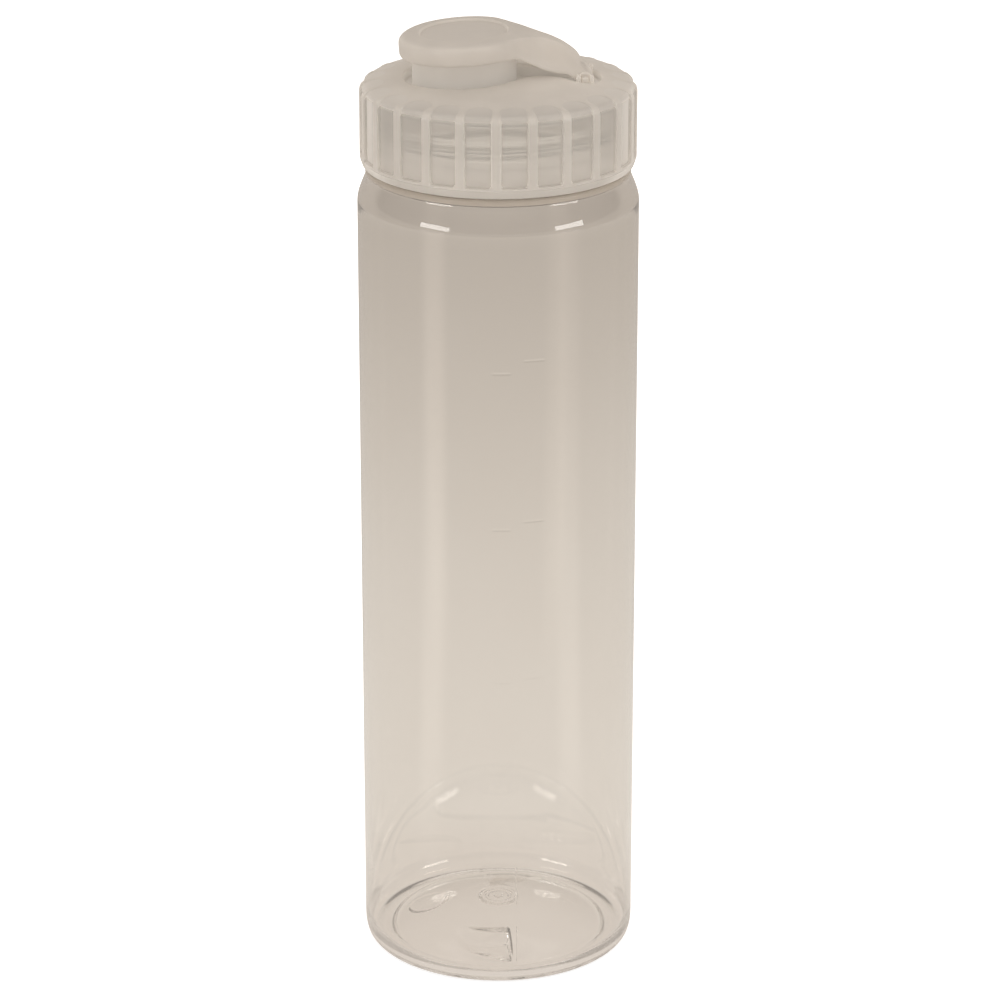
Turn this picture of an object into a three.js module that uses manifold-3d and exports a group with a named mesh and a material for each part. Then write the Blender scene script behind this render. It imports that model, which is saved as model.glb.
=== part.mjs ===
// Clear straight-sided bottle with a ribbed screw cap and a flip-top spout lid.
//
// Frame: millimetres, +Z up. The origin is the centre of the foot ring, in the
// plane the bottle stands on. The lid hinge is on the +X side of the cap and
// the drinking spout is on the -X side.

import * as THREE from 'three';
import { mergeVertices } from 'three/addons/utils/BufferGeometryUtils.js';
import Module from 'manifold-3d';

const wasm = await Module();
wasm.setup();

// ---------------------------------------------------------------- dimensions
const SEG = 72;                 // facets round every large turned surface

// bottle
const BODY_R = 36.5;            // outside radius of the body
const WALL = 0.8;               // side wall
const FOOT_R_OUT = 33.8;        // flat foot ring
const FOOT_R_IN = 28.7;
const HEEL_H = 4.6;             // heel rounding, foot ring to side wall
const DOME_Z = 8.2;             // underside of the pushed-up base at the middle
const BASE_T = 1.5;             // base thickness
const GATE_R = 4.9;             // gate boss under the middle of the base
const GATE_DROP = 0.6;
const SHOULDER_Z = 209.0;       // side wall ends, shoulder starts
const BEAD_R = 34.5;            // support bead under the cap
const BEAD_TOP_Z = 218.2;
const NECK_R = 31.2;            // neck wall outside
const NECK_BORE_R = 29.6;
const RIM_Z = 236.6;            // neck rim

// ratchet lugs under the base
const LUG_COUNT = 2;
const LUG_FACE_DEG = -83;       // direction of the first lug's steep face
const LUG_R0 = 17.0, LUG_R1 = 26.2;
const LUG_LEN = 13.5;           // along the circle
const LUG_Z = 1.4;              // lowest level of a lug

// neck thread
const PITCH = 4.233;            // six turns per inch
const THREAD_Z0 = 228.55;       // centre of the ridge where the thread starts
const THREAD_TURNS = 1.5;
const THREAD_R = 31.5, THREAD_SEC = 1.0;
const TRANSFER_BEAD_Z = 225.6, TRANSFER_BEAD_R = 32.4;

// screw cap
const CAP_R = 35.75;            // outside, over the ribs
const CAP_BOTTOM_Z = 218.8;
const CAP_IN_R = 33.1;          // inside of the skirt
const CEIL_Z = 238.3;           // underside of the deck
const DECK_Z = 243.0;           // middle of the slightly domed deck
const RIBS = 24;
const RIB_TURN_DEG = -0.8;       // where the first rib stands, from the hinge side
const PANEL_HALF_W = 3.45;      // half width of the pocket between two ribs
const PANEL_R = 34.95;          // floor of the pockets
const PANEL_Z0 = 221.6, PANEL_Z1 = 239.1;
const CAP_THREAD_R = 32.95, CAP_THREAD_SEC = 0.9, CAP_THREAD_TURNS = 1.25;
const CAP_THREAD_START = 0.37;  // in turns along the neck thread

// spout and the keyhole recess round it
const SPOUT_X = -8.7;
const SPOUT_R = 13.4, SPOUT_BORE_R = 11.8;
const SPOUT_TOP_Z = 249.3;
const MOAT_R = 15.6, MOAT_Z = 239.4;

// lid hinge
const HINGE_X = 22.2, HINGE_Z = 241.6;
const KNUCKLE_R = 1.9, KNUCKLE_HALF = 4.2;
const AXLE_R = 1.0, AXLE_HALF = 6.3;
const CHEEK_Y0 = 4.55, CHEEK_Y1 = 6.75, CHEEK_TOP_Z = 243.0;
const SLOT_HALF = 1.15;

// lid, in its own frame: hinge axis at the origin, disc level
const LID_TILT_DEG = -3.3;      // the closed lid slopes down to the thumb side
const DISC_X = -30.3, DISC_R = 16.85;
const LID_TOP = 13.75, LID_RIM_BOTTOM = 8.0, LID_PLATE = 11.7;
const DISH_R = 11.2, DISH_DEPTH = 0.7;
const SKIRT_IN_R = 14.3;
const PLUG_R = 10.8, PLUG_IN_R = 9.1, PLUG_BOTTOM = 7.3;

// sealing ring under the deck
const SEAL_R0 = 29.3, SEAL_R1 = 32.75, SEAL_Z0 = 236.9, SEAL_Z1 = 238.0;

// ------------------------------------------------------------------- helpers
function solid(geometry) {
  const g = geometry.clone();
  g.deleteAttribute('normal');
  if (g.getAttribute('uv')) g.deleteAttribute('uv');
  const m = mergeVertices(g, 1e-4);
  const pos = m.getAttribute('position');
  const src = m.index.array;
  const tri = [];
  let vol = 0;
  const a = new THREE.Vector3(), b = new THREE.Vector3(), c = new THREE.Vector3();
  for (let i = 0; i < src.length; i += 3) {
    const [p, q, r] = [src[i], src[i + 1], src[i + 2]];
    if (p === q || q === r || p === r) continue;
    tri.push(p, q, r);
    a.fromBufferAttribute(pos, p);
    b.fromBufferAttribute(pos, q);
    c.fromBufferAttribute(pos, r);
    vol += a.dot(b.clone().cross(c));
  }
  if (vol < 0) for (let i = 0; i < tri.length; i += 3) [tri[i], tri[i + 1]] = [tri[i + 1], tri[i]];
  return new wasm.Manifold(new wasm.Mesh({
    numProp: 3,
    vertProperties: new Float32Array(pos.array),
    triVerts: new Uint32Array(tri),
  }));
}

function toGeometry(manifold) {
  const mesh = manifold.getMesh();
  const n = mesh.numProp;
  const v = mesh.vertProperties;
  const p = new Float32Array((v.length / n) * 3);
  for (let i = 0, j = 0; i < v.length; i += n, j += 3) {
    p[j] = v[i]; p[j + 1] = v[i + 1]; p[j + 2] = v[i + 2];
  }
  const g = new THREE.BufferGeometry();
  g.setAttribute('position', new THREE.BufferAttribute(p, 3));
  g.setIndex(new THREE.BufferAttribute(new Uint32Array(mesh.triVerts), 1));
  g.computeVertexNormals();
  return g;
}

// a turned solid from [radius, height] pairs, turned about +Z
function turned(points, segments = SEG) {
  const g = new THREE.LatheGeometry(points.map(([r, z]) => new THREE.Vector2(r, z)), segments);
  g.rotateX(Math.PI / 2);
  return g;
}

// a closed ring profile: the first point is repeated at the end
const ring = (points, segments) => turned([...points, points[0]], segments);

// a round bar along Z, from z0 to z1, centred on x, y
function post(x, y, r, z0, z1, segments = 48) {
  const g = new THREE.CylinderGeometry(r, r, z1 - z0, segments);
  g.rotateX(Math.PI / 2);
  g.translate(x, y, (z0 + z1) / 2);
  return g;
}

function box(x0, x1, y0, y1, z0, z1) {
  const g = new THREE.BoxGeometry(x1 - x0, y1 - y0, z1 - z0);
  g.translate((x0 + x1) / 2, (y0 + y1) / 2, (z0 + z1) / 2);
  return g;
}

// an outline in the XZ plane, thickened along Y from -half to +half
function slabY(points, half) {
  const s = new THREE.Shape(points.map(([x, z]) => new THREE.Vector2(x, z)));
  const g = new THREE.ExtrudeGeometry(s, { depth: 2 * half, bevelEnabled: false });
  g.translate(0, 0, -half);
  g.rotateX(Math.PI / 2);
  return g;
}

// an outline in the XY plane, thickened from z0 to z1
function slabZ(points, z0, z1) {
  const s = new THREE.Shape(points.map(([x, y]) => new THREE.Vector2(x, y)));
  const g = new THREE.ExtrudeGeometry(s, { depth: z1 - z0, bevelEnabled: false });
  g.translate(0, 0, z0);
  return g;
}

class Helix extends THREE.Curve {
  constructor(r, z, startTurn, turns, pitch) {
    super();
    Object.assign(this, { r, z, startTurn, turns, pitch });
  }
  getPoint(t, target = new THREE.Vector3()) {
    const turn = this.startTurn + t * this.turns;
    const a = turn * 2 * Math.PI;
    return target.set(this.r * Math.cos(a), this.r * Math.sin(a), this.z + turn * this.pitch);
  }
}

// a rounded ridge along a helix
function ridge(r, z, startTurn, turns, sec) {
  const s = new THREE.Shape();
  const n = 6;
  for (let i = 0; i < n; i++) {
    const a = (i / n) * 2 * Math.PI;
    if (i === 0) s.moveTo(sec * Math.cos(a), sec * Math.sin(a));
    else s.lineTo(sec * Math.cos(a), sec * Math.sin(a));
  }
  s.closePath();
  return new THREE.ExtrudeGeometry(s, {
    steps: Math.round(turns * 30),
    bevelEnabled: false,
    extrudePath: new Helix(r, z, startTurn, turns, PITCH),
  });
}

const smooth = (pts, n) => new THREE.CatmullRomCurve3(
  pts.map(([x, y]) => new THREE.Vector3(x, y, 0)), false, 'centripetal',
).getPoints(n).map((p) => [p.x, p.y]);

// -------------------------------------------------------------------- bottle
const heel = [];
for (let i = 0; i <= 5; i++) {
  const a = (i / 5) * Math.PI / 2;
  heel.push([
    FOOT_R_OUT + (BODY_R - FOOT_R_OUT) * Math.sin(a),
    HEEL_H * (1 - Math.cos(a)),
  ]);
}
const shoulder = [
  [BODY_R, SHOULDER_Z], [36.2, 210.9], [35.5, 213.2], [34.6, 215.3],
  [34.25, 216.2], [BEAD_R, 217.0], [BEAD_R, 217.8], [34.1, BEAD_TOP_Z],
];
const neck = [
  [NECK_R, BEAD_TOP_Z], [NECK_R, TRANSFER_BEAD_Z - 0.8],
  [TRANSFER_BEAD_R, TRANSFER_BEAD_Z - 0.3], [TRANSFER_BEAD_R, TRANSFER_BEAD_Z + 0.3],
  [NECK_R, TRANSFER_BEAD_Z + 0.8], [NECK_R, RIM_Z - 0.5], [NECK_R - 0.5, RIM_Z],
];
const dome = [
  [FOOT_R_IN, 0], [28.0, 1.2], [26.2, 2.5], [22.0, 4.3], [14.0, 6.7],
  [GATE_R + 0.5, DOME_Z],
];
const bottleOuter = turned([
  [0, DOME_Z - GATE_DROP], [GATE_R - 0.3, DOME_Z - GATE_DROP], [GATE_R, DOME_Z - 0.3], ...dome.slice().reverse(),
  ...heel, ...shoulder, ...neck, [0, RIM_Z],
]);
const INNER_R = BODY_R - WALL;
const cavity = turned([
  [0, DOME_Z + BASE_T], [GATE_R, DOME_Z + BASE_T], [14.0, 6.7 + BASE_T],
  [22.0, 4.3 + BASE_T], [26.8, 2.5 + BASE_T], [29.6, 1.9], [32.9, 1.6], [34.8, 2.9],
  [35.5, 5.0], [INNER_R, 7.5],
  [INNER_R, SHOULDER_Z - 0.5], [35.2, 211.0], [34.3, 213.4], [32.8, 215.6], [31.0, 217.7],
  [NECK_BORE_R, 220.6], [NECK_BORE_R, RIM_Z - 0.4], [NECK_BORE_R + 0.4, RIM_Z + 1.0], [0, RIM_Z + 1.0],
]);

let bottle = solid(bottleOuter);
for (let i = 0; i < LUG_COUNT; i++) {
  // a ramp: steep face at x = 0, running out along -x; LUG_R0..LUG_R1 along y
  const ramp = slabY([[0, LUG_Z], [0.4, 8.4], [-LUG_LEN, 8.4], [-LUG_LEN, 6.2]], (LUG_R1 - LUG_R0) / 2);
  ramp.translate(0, -(LUG_R0 + LUG_R1) / 2, 0);
  ramp.rotateZ(THREE.MathUtils.degToRad(LUG_FACE_DEG + 90 + i * 360 / LUG_COUNT));
  bottle = bottle.add(solid(ramp));
}
bottle = bottle.add(solid(ridge(THREAD_R, THREAD_Z0, 0, THREAD_TURNS, THREAD_SEC)));
bottle = bottle.subtract(solid(cavity));

// ----------------------------------------------------------------- screw cap
const deck = [
  [35.1, 239.5], [34.2, 240.0], [32.0, 240.5], [29.0, 241.0], [25.0, 241.5],
  [20.0, 242.1], [15.0, 242.5], [10.0, 242.8], [0, DECK_Z],
];
let cap = solid(turned([
  [0, CEIL_Z], [CAP_IN_R - 0.4, CEIL_Z], [CAP_IN_R, CEIL_Z - 0.4], [CAP_IN_R, CAP_BOTTOM_Z + 0.4],
  [CAP_IN_R + 0.4, CAP_BOTTOM_Z], [35.15, CAP_BOTTOM_Z], [CAP_R, CAP_BOTTOM_Z + 2.0],
  [CAP_R, 237.9], [35.6, 238.8], ...deck,
]));

// pockets between the ribs, running up over the edge of the deck
const pocketProfile = [
  [PANEL_R, PANEL_Z0], [38, PANEL_Z0], [38, 246], [29.4, 246], [29.4, 240.75], [PANEL_R, PANEL_Z1],
];
for (let i = 0; i < RIBS; i++) {
  const g = slabY(pocketProfile, PANEL_HALF_W);
  g.rotateZ((i + 0.5) * 2 * Math.PI / RIBS + THREE.MathUtils.degToRad(RIB_TURN_DEG));
  cap = cap.subtract(solid(g));
}

// keyhole recess: a round moat for the spout, a waist, and a lobe for the hinge
const side = smooth([
  [1.33, 11.95], [4.2, 8.7], [7.0, 5.9], [10.0, 4.1], [13.2, 3.6], [16.4, 4.6], [19.0, 6.6],
  [21.8, 7.6], [24.4, 6.4], [26.0, 3.4], [26.4, 0],
], 30);
const a0 = Math.atan2(11.95, 1.33 - SPOUT_X);
const keyhole = [];
for (let i = 1; i < 36; i++) {
  const a = a0 + (i / 36) * (2 * Math.PI - 2 * a0);
  keyhole.push([SPOUT_X + MOAT_R * Math.cos(a), MOAT_R * Math.sin(a)]);
}
keyhole.push(...side.map(([x, y]) => [x, -y]).slice(0, -1), ...side.slice().reverse());
cap = cap.subtract(solid(slabZ(keyhole, MOAT_Z, 246)));

// spout and hinge cheeks stand in the recess
cap = cap.add(solid(post(SPOUT_X, 0, SPOUT_R, CEIL_Z + 0.2, SPOUT_TOP_Z)));
cap = cap.subtract(solid(post(SPOUT_X, 0, SPOUT_BORE_R, CEIL_Z - 3, SPOUT_TOP_Z + 3)));
for (const s of [-1, 1]) {
  const y0 = Math.min(s * CHEEK_Y0, s * CHEEK_Y1), y1 = Math.max(s * CHEEK_Y0, s * CHEEK_Y1);
  let cheek = solid(box(HINGE_X - 2.3, HINGE_X + 2.3, y0, y1, CEIL_Z + 0.3, CHEEK_TOP_Z));
  cheek = cheek.subtract(solid(box(HINGE_X - SLOT_HALF, HINGE_X + SLOT_HALF, y0 - 1, y1 + 1, HINGE_Z, CHEEK_TOP_Z + 1)));
  const seat = new THREE.CylinderGeometry(SLOT_HALF, SLOT_HALF, CHEEK_Y1 - CHEEK_Y0 + 2, 24);
  seat.translate(HINGE_X, (y0 + y1) / 2, HINGE_Z);
  cheek = cheek.subtract(solid(seat));
  cap = cap.add(cheek);
}
cap = cap.add(solid(ridge(CAP_THREAD_R, THREAD_Z0 - PITCH / 2, CAP_THREAD_START, CAP_THREAD_TURNS, CAP_THREAD_SEC)));

// ----------------------------------------------------------------------- lid
// side view of the lid: disc, humped arm, knuckle on the hinge axis
const lidSide = [
  [-48.5, LID_TOP], [-48.5, LID_RIM_BOTTOM], [-16.9, LID_RIM_BOTTOM], [-12.5, 4.7], [-9.6, 2.9], [-7.6, 2.1],
  [-4.1, 1.5], [-3.0, 0.3], [-1.9, -0.5], [-1.34, -1.34], [0, -KNUCKLE_R], [1.34, -1.34], [KNUCKLE_R, 0],
  [1.45, 1.25], [0.4, 2.3], [-0.9, 3.7], [-2.2, 5.4], [-4.0, 7.2], [-6.4, 8.7], [-9.2, 9.9], [-12.5, 11.2],
  [-16.5, 12.5], [-20.5, 13.4], [-24.0, LID_TOP],
];
// plan view: disc running into the arm
const armEdge = smooth([
  [-19.4, 13.15], [-16.6, 10.1], [-13.4, 7.6], [-10.0, 5.8], [-6.0, 4.7], [-2.6, KNUCKLE_HALF],
], 14);
const b0 = Math.atan2(13.15, -19.4 - DISC_X);
const plan = [];
for (let i = 1; i < 44; i++) {
  const a = b0 + (i / 44) * (2 * Math.PI - 2 * b0);
  plan.push([DISC_X + DISC_R * Math.cos(a), DISC_R * Math.sin(a)]);
}
plan.push(...armEdge.map(([x, y]) => [x, -y]), [3, -KNUCKLE_HALF], [3, KNUCKLE_HALF], ...armEdge.slice().reverse());
let lid = solid(slabZ(plan, -4, 20)).intersect(solid(slabY(lidSide, 24)));
// soften the rim of the disc: a turned envelope over the disc end
const envelope = solid(turned([
  [0, -6], [70, -6], [70, 20], [40, 20], [DISC_R + 0.6, LID_TOP - 1.9],
  [DISC_R - 0.5, LID_TOP - 0.65], [DISC_R - 1.6, LID_TOP], [0, LID_TOP],
]).translate(DISC_X, 0, 0));
const discZone = solid(box(DISC_X - 20, DISC_X + 6, -24, 24, -6, 20));
lid = lid.subtract(discZone).add(lid.intersect(discZone).intersect(envelope));
lid = lid.subtract(solid(post(DISC_X, 0, DISH_R, LID_TOP - DISH_DEPTH, LID_TOP + 2)));
lid = lid.subtract(solid(post(DISC_X, 0, SKIRT_IN_R, LID_RIM_BOTTOM - 3, LID_PLATE)));
lid = lid.add(solid(ring([
  [PLUG_IN_R, PLUG_BOTTOM], [PLUG_R - 0.4, PLUG_BOTTOM], [PLUG_R, PLUG_BOTTOM + 0.7], [PLUG_R, LID_PLATE + 0.3],
  [PLUG_IN_R, LID_PLATE + 0.3],
], 48).translate(DISC_X, 0, 0)));
const axle = new THREE.CylinderGeometry(AXLE_R, AXLE_R, 2 * AXLE_HALF, 24);
lid = lid.add(solid(axle));

// ------------------------------------------------------------------ assembly
const group = new THREE.Group();
function place(name, geometry, material, position = [0, 0, 0], rotation = [0, 0, 0]) {
  const mesh = new THREE.Mesh(geometry, material);
  mesh.name = name;
  mesh.position.set(...position);
  mesh.rotation.set(...rotation);
  group.add(mesh);
  return mesh;
}

place('bottle', toGeometry(bottle), new THREE.MeshStandardMaterial({
  color: 0xd6ccc0, roughness: 0.06, metalness: 0, transparent: true, opacity: 0.35,
}));
place('cap', toGeometry(cap), new THREE.MeshStandardMaterial({
  color: 0xbfb5a8, roughness: 0.42, metalness: 0, transparent: true, opacity: 0.85,
}));
place('seal_ring', toGeometry(solid(ring([
  [SEAL_R0, SEAL_Z0], [SEAL_R1, SEAL_Z0], [SEAL_R1, SEAL_Z1], [SEAL_R0, SEAL_Z1],
]))), new THREE.MeshStandardMaterial({ color: 0xd8d0c4, roughness: 0.6, metalness: 0 }));
place('lid', toGeometry(lid), new THREE.MeshStandardMaterial({
  color: 0xbdb3a6, roughness: 0.4, metalness: 0, transparent: true, opacity: 0.85,
}), [HINGE_X, 0, HINGE_Z], [0, THREE.MathUtils.degToRad(LID_TILT_DEG), 0]);

export default group;
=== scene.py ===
"""Clear bottle with a ribbed screw cap and a flip-top lid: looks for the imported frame."""
import bpy
import bmesh
import math
import numpy as np
from mathutils import Vector, Matrix
from mathutils.geometry import delaunay_2d_cdt


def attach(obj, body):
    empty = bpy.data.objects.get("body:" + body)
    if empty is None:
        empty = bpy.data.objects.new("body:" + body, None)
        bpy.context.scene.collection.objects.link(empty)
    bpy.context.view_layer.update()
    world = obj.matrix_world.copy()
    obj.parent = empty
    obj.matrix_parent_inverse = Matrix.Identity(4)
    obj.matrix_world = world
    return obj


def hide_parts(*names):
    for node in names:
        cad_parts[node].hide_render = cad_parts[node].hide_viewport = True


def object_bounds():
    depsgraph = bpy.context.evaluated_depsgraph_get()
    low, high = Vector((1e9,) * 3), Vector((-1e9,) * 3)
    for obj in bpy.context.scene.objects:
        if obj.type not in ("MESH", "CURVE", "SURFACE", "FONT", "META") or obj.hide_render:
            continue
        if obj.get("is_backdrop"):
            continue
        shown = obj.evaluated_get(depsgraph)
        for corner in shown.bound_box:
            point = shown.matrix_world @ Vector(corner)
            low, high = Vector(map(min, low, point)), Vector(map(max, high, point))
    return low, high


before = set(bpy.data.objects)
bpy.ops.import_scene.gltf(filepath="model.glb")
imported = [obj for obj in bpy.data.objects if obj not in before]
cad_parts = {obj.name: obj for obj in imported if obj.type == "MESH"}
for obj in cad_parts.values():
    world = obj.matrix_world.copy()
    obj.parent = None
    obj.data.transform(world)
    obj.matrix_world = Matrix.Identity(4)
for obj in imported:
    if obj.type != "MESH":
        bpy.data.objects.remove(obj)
CAD_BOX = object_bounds()
MM = 0.001

# ------------------------------------------------------------------ dimensions (mm, row frame)
BODY_R, BODY_IN_R = 36.5, 35.92
NECK_R, NECK_BORE_R, RIM_Z = 31.2, 29.6, 236.6
PITCH, THREAD_Z0, THREAD_TURNS = 4.233, 28.55 + 200.0, 1.5
CAP_R, CAP_IN_R, CAP_Z0, CEIL_Z = 35.75, 33.1, 218.8, 238.3
RIBS, RIB_TURN = 24, math.radians(-0.8)
PANEL_R, PANEL_Z0, PANEL_Z1, PANEL_W = 34.95, 221.6, 239.1, 3.45
SPOUT_X, SPOUT_R, SPOUT_BORE, SPOUT_TOP = -8.7, 13.4, 11.8, 249.3
MOAT_R, MOAT_Z = 15.6, 239.4
HINGE_X, HINGE_Z = 22.2, 241.6
LID_TILT = math.radians(-3.3)
DISC_X, DISC_R = -30.3, 16.85
LID_TOP, LID_BOT, LID_PLATE = 13.75, 8.0, 11.7

# ------------------------------------------------------------------ small maths
def sstep(a, b, x):
    t = np.clip((np.asarray(x, float) - a) / (b - a), 0.0, 1.0)
    return t * t * (3 - 2 * t)


def soft_pos(x, k=0.15):
    x = np.asarray(x, float)
    return 0.5 * (x + np.sqrt(x * x + k * k))


def catmull(pts, n):
    """Centripetal Catmull-Rom through pts, n samples per span, ends kept."""
    p = np.asarray(pts, float)
    ext = np.vstack([2 * p[0] - p[1], p, 2 * p[-1] - p[-2]])
    out = []
    for i in range(1, len(ext) - 2):
        p0, p1, p2, p3 = ext[i - 1:i + 3]
        t0 = 0.0
        t1 = t0 + math.sqrt(np.linalg.norm(p1 - p0)) + 1e-9
        t2 = t1 + math.sqrt(np.linalg.norm(p2 - p1)) + 1e-9
        t3 = t2 + math.sqrt(np.linalg.norm(p3 - p2)) + 1e-9
        for k in range(n):
            t = t1 + (t2 - t1) * k / n
            a1 = (t1 - t) / (t1 - t0) * p0 + (t - t0) / (t1 - t0) * p1
            a2 = (t2 - t) / (t2 - t1) * p1 + (t - t1) / (t2 - t1) * p2
            a3 = (t3 - t) / (t3 - t2) * p2 + (t - t2) / (t3 - t2) * p3
            b1 = (t2 - t) / (t2 - t0) * a1 + (t - t0) / (t2 - t0) * a2
            b2 = (t3 - t) / (t3 - t1) * a2 + (t - t1) / (t3 - t1) * a3
            out.append((t2 - t) / (t2 - t1) * b1 + (t - t1) / (t2 - t1) * b2)
    out.append(p[-1])
    return np.array(out)


def fillet(pts, seg=4, max_len=None):
    """Polyline of (x, y, radius): each inner corner rounded by its radius."""
    out = []
    n = len(pts)
    for i, (x, y, r) in enumerate(pts):
        p = np.array([x, y], float)
        if i in (0, n - 1) or r <= 0:
            out.append(p)
            continue
        a = np.array(pts[i - 1][:2], float) - p
        b = np.array(pts[i + 1][:2], float) - p
        la, lb = np.linalg.norm(a), np.linalg.norm(b)
        a, b = a / la, b / lb
        cosang = float(np.clip(np.dot(a, b), -0.9999, 0.9999))
        half = math.acos(cosang) / 2
        d = min(r / math.tan(half), la * 0.49, lb * 0.49)
        rr = d * math.tan(half)
        c = p + (a + b) / np.linalg.norm(a + b) * (rr / math.sin(half))
        s, e = p + a * d - c, p + b * d - c
        ang = math.acos(float(np.clip(np.dot(s, e) / (rr * rr), -1, 1)))
        for k in range(seg + 1):
            t = k / seg
            w0 = math.sin((1 - t) * ang) / math.sin(ang)
            w1 = math.sin(t * ang) / math.sin(ang)
            out.append(c + s * w0 + e * w1)
    out = np.array(out)
    if max_len:
        fine = [out[0]]
        for q in out[1:]:
            d = np.linalg.norm(q - fine[-1])
            k = max(1, int(math.ceil(d / max_len)))
            base = fine[-1]
            for j in range(1, k + 1):
                fine.append(base + (q - base) * j / k)
        out = np.array(fine)
    return out


def inside(poly, pts):
    """Even-odd test of pts against a closed polygon."""
    x, y = pts[:, 0], pts[:, 1]
    res = np.zeros(len(pts), bool)
    a, b = poly, np.roll(poly, -1, axis=0)
    for (x0, y0), (x1, y1) in zip(a, b):
        c = (y0 > y) != (y1 > y)
        if c.any():
            xi = x0 + (y - y0) / (y1 - y0 if y1 != y0 else 1e-12) * (x1 - x0)
            res ^= c & (x < xi)
    return res


def loop_distance(poly, pts):
    a, b = poly, np.roll(poly, -1, axis=0)
    best = np.full(len(pts), 1e9)
    for p, q in zip(a, b):
        d = q - p
        t = np.clip(((pts - p) @ d) / max(float(d @ d), 1e-12), 0, 1)
        best = np.minimum(best, np.linalg.norm(pts - (p + t[:, None] * d), axis=1))
    return best


def offset(poly, d):
    """A closed outline moved outward by d along its vertex normals."""
    prv, nxt = np.roll(poly, 1, axis=0), np.roll(poly, -1, axis=0)
    t = nxt - prv
    n = np.stack([t[:, 1], -t[:, 0]], 1)
    n /= np.linalg.norm(n, axis=1, keepdims=True)
    area = 0.5 * np.sum(poly[:, 0] * nxt[:, 1] - nxt[:, 0] * poly[:, 1])
    return poly + n * d * (1 if area > 0 else -1)


# ------------------------------------------------------------------ mesh builder
class Build:
    """Collects patches in mm, welds shared rims, and makes one closed object."""

    def __init__(self):
        self.v, self.f, self.a, self.n = [], [], [], 0

    def add(self, verts, faces, attr=0.0):
        verts = np.asarray(verts, float)
        at = np.full(len(verts), attr) if np.isscalar(attr) else np.asarray(attr, float)
        self.v.append(verts)
        self.a.append(at)
        self.f += [tuple(i + self.n for i in f) for f in faces]
        self.n += len(verts)

    def grid(self, pts, attr=0.0, close=True):
        """pts is (rows, columns, 3); columns wrap round."""
        pts = np.asarray(pts, float)
        r, c = pts.shape[:2]
        faces = []
        for i in range(r - 1):
            for j in range(c if close else c - 1):
                k = (j + 1) % c
                faces.append((i * c + j, i * c + k, (i + 1) * c + k, (i + 1) * c + j))
        at = attr if np.isscalar(attr) else np.asarray(attr).reshape(-1)
        self.add(pts.reshape(-1, 3), faces, at)

    def region(self, outer, holes, zfun, step, attr=0.0, margin=0.55, z_loops=None, extra=None):
        """Flat-topology patch between closed outlines, lifted by zfun(x, y)."""
        loops = [np.asarray(outer, float)] + [np.asarray(h, float) for h in holes]
        o2 = loops[0][:, :2]
        lo, hi = o2.min(0), o2.max(0)
        gx = np.arange(lo[0], hi[0] + step, step)
        gy = np.arange(lo[1], hi[1] + step * 0.866, step * 0.866)
        pts = np.array([(x + (0.5 * step if j % 2 else 0), y) for j, y in enumerate(gy) for x in gx])
        if extra is not None and len(extra):
            pts = np.vstack([pts, extra])
        keep = inside(o2, pts)
        pts = pts[keep]
        for k, l in enumerate(loops):
            l2 = l[:, :2]
            if k:
                pts = pts[~inside(l2, pts)]
            pts = pts[loop_distance(l2, pts) > step * margin]
        allp, edges = [], []
        for l in loops:
            s = len(allp)
            allp += [tuple(p[:2]) for p in l]
            edges += [(s + i, s + (i + 1) % len(l)) for i in range(len(l))]
        nb = len(allp)
        allp += [tuple(p) for p in pts]
        res = delaunay_2d_cdt([Vector(p) for p in allp], edges, [], 0, 1e-7)
        vc, faces, orig = res[0], res[2], res[3]
        xy = np.array([allp[o[0]] if len(o) else (v.x, v.y) for v, o in zip(vc, orig)])
        tri = np.array([list(f) for f in faces if len(f) == 3])
        cen = xy[tri].mean(1)
        ok = inside(o2, cen)
        for l in loops[1:]:
            ok &= ~inside(l[:, :2], cen)
        tri = tri[ok]
        z = np.asarray(zfun(xy[:, 0], xy[:, 1]), float)
        zl = np.concatenate([l[:, 2] for l in loops])
        for i, o in enumerate(orig):
            if len(o) and o[0] < nb:
                z[i] = zl[o[0]]
        at = attr(xy[:, 0], xy[:, 1]) if callable(attr) else attr
        self.add(np.column_stack([xy, z]), [tuple(t) for t in tri], at)

    def make(self, name, smooth_angle=40.0, attr_name="clear", place=None, recalc=True):
        v = np.vstack(self.v)
        a = np.concatenate(self.a)
        key = np.round(v / 2e-4).astype(np.int64)
        _, first, inv = np.unique(key, axis=0, return_index=True, return_inverse=True)
        inv = inv.reshape(-1)
        vv, aa = v[first], a[first]
        faces = []
        for f in self.f:
            g = []
            for i in f:
                k = int(inv[i])
                if k not in g:
                    g.append(k)
            if len(g) > 2:
                faces.append(g)
        if place is not None:
            m = np.array(place)
            vv = vv @ m[:3, :3].T + m[:3, 3]
        me = bpy.data.meshes.new(name)
        me.from_pydata((vv * MM).tolist(), [], faces)
        at = me.attributes.new(attr_name, "FLOAT", "POINT")
        at.data.foreach_set("value", aa.astype(np.float32))
        me.update()
        if recalc:
            bm = bmesh.new()
            bm.from_mesh(me)
            bmesh.ops.recalc_face_normals(bm, faces=bm.faces)
            bm.to_mesh(me)
            bm.free()
        for p in me.polygons:
            p.use_smooth = True
        me.set_sharp_from_angle(angle=math.radians(smooth_angle))
        ob = bpy.data.objects.new(name, me)
        bpy.context.scene.collection.objects.link(ob)
        edge_attribute(me)
        return ob


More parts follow.
